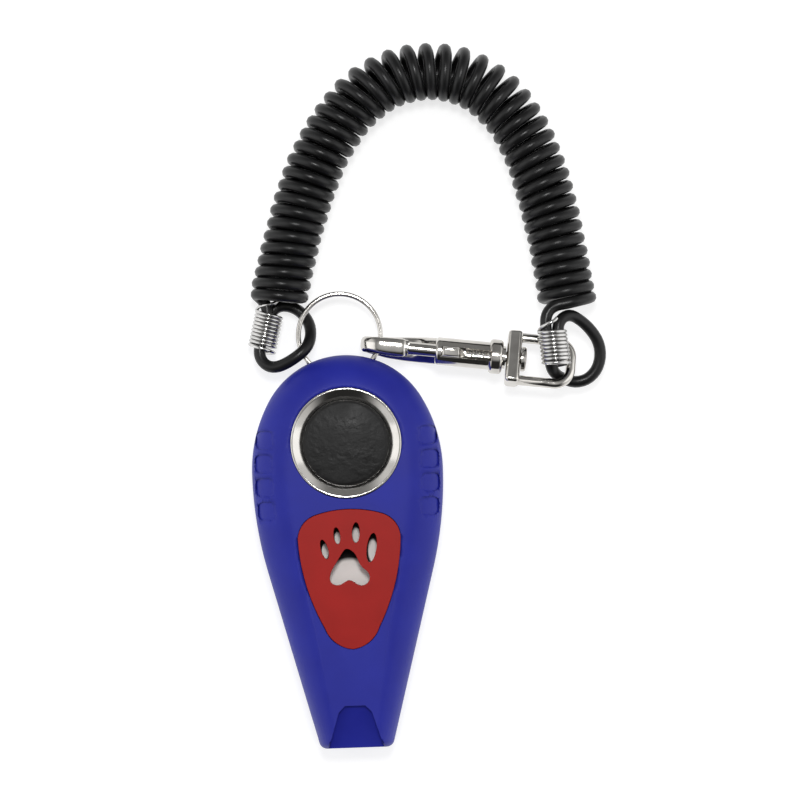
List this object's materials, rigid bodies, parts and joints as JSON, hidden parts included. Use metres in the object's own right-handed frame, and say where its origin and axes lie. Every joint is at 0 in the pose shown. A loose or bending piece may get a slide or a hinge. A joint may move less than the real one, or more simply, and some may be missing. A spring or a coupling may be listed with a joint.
{
  "type": "clicker trainer",
  "caption": "Teardrop pet training clicker with push button, whistle mouthpiece, paw insert, split ring, bolt snap and curly wrist cord.",
  "frame": {"origin": "middle of the casing's flat back face", "axes": "+Y up the casing towards the ring, +X to the right seen from the front, +Z out of the front"},
  "size_m": [0.0791, 0.1542, 0.0165],
  "materials": {
    "blue_plastic": "fine moulded texture",
    "red_plastic": "satin",
    "black_plastic": "matte",
    "polished_steel": "polished",
    "spring_steel": "bright drawn wire",
    "nickel_plate": "polished nickel plate",
    "zinc_screws": "zinc plated",
    "cord_rubber": "satin"
  },
  "bodies": {
    "casing": {"front_shell": "blue_plastic", "rear_shell": "blue_plastic", "bezel_dish": "polished_steel", "paw_insert": "red_plastic", "whistle_block": "blue_plastic", "casing_screws": "zinc_screws"},
    "button": {"button_cap": "black_plastic"},
    "reed": {"click_reed": "spring_steel"},
    "lanyard": {"split_ring": "polished_steel", "swivel_eye": "nickel_plate", "crimp_left": "spring_steel", "crimp_right": "spring_steel", "cord_coil": "cord_rubber", "cord_loop_left": "cord_rubber", "cord_loop_right": "cord_rubber"},
    "hook": {"hook_body": "nickel_plate", "swivel_rivet": "nickel_plate", "bolt_spring": "spring_steel"},
    "bolt": {"hook_bolt": "nickel_plate", "bolt_knob": "nickel_plate"}
  },
  "joints": [
    {"name": "button_press", "type": "slide", "parent": "casing", "child": "button", "axis": [0, 0, -1], "range_m": [0, 0.0018], "stiffness_N_per_m": 1500, "springref_m": -0.001},
    {"name": "reed_flex", "type": "hinge", "parent": "casing", "child": "reed", "pos_m": [0, -0.014, 0.01085], "axis": [-1, 0, 0], "range_deg": [0, 2.8]},
    {"name": "ring_swing", "type": "hinge", "parent": "casing", "child": "lanyard", "pos_m": [0, 0.0385, 0.006], "axis": [1, 0, 0], "range_deg": [-10, 12]},
    {"name": "hook_swivel", "type": "hinge", "parent": "lanyard", "child": "hook", "pos_m": [0.0038, 0.0454, 0.0086], "axis": [0.9912, -0.1323, 0], "range_deg": [0, 30]},
    {"name": "bolt_slide", "type": "slide", "parent": "hook", "child": "bolt", "axis": [0.9912, -0.1323, 0], "range_m": [0, 0.0062], "stiffness_N_per_m": 150, "springref_m": -0.002, "deforming": ["bolt_spring"]}
  ],
  "couplings": [
    {"joint": "reed_flex", "follows": "button_press", "rad_per_m": 26.455}
  ]
}
